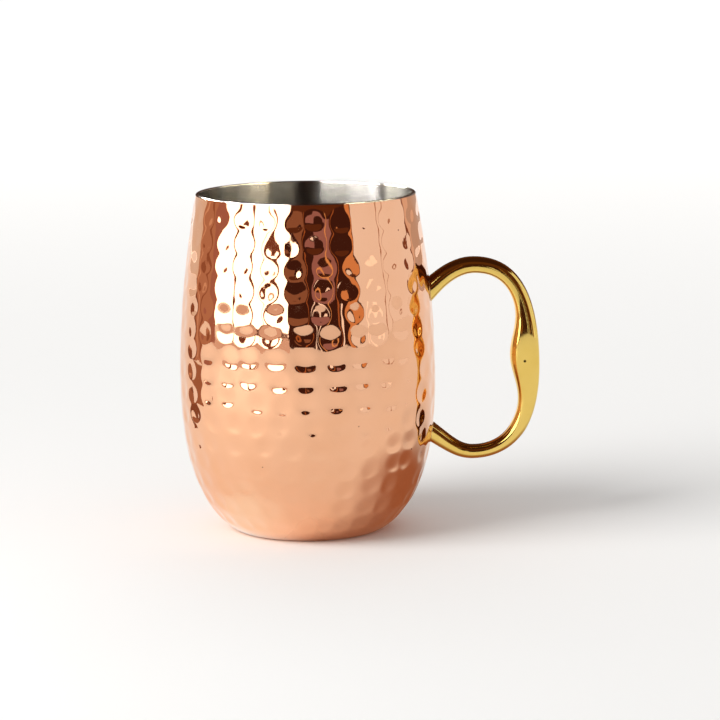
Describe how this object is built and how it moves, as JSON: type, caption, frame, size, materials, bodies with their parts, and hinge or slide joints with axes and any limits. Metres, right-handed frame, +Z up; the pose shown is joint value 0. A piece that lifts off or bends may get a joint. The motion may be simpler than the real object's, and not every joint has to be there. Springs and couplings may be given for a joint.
{
  "type": "copper mug",
  "caption": "Barrel-shaped drinking mug with a hammered copper shell, a smooth steel liner turned over at the lip and a cast brass loop handle with a swollen grip.",
  "frame": {"origin": "centre of the flat base, on the surface that the mug stands on", "axes": "+Z up along the axis of the cup, +X from that axis towards the handle"},
  "size_m": [0.127, 0.09, 0.1194],
  "materials": {
    "copper": "hammered and mirror polished copper",
    "steel": "fine circumferential brushing",
    "brass": "cast and polished brass",
    "braze": "smooth braze fillet"
  },
  "bodies": {
    "root": {"copper_shell": "copper", "steel_liner": "steel", "brass_handle": "brass", "upper_braze": "braze", "lower_braze": "braze"}
  },
  "joints": []
}
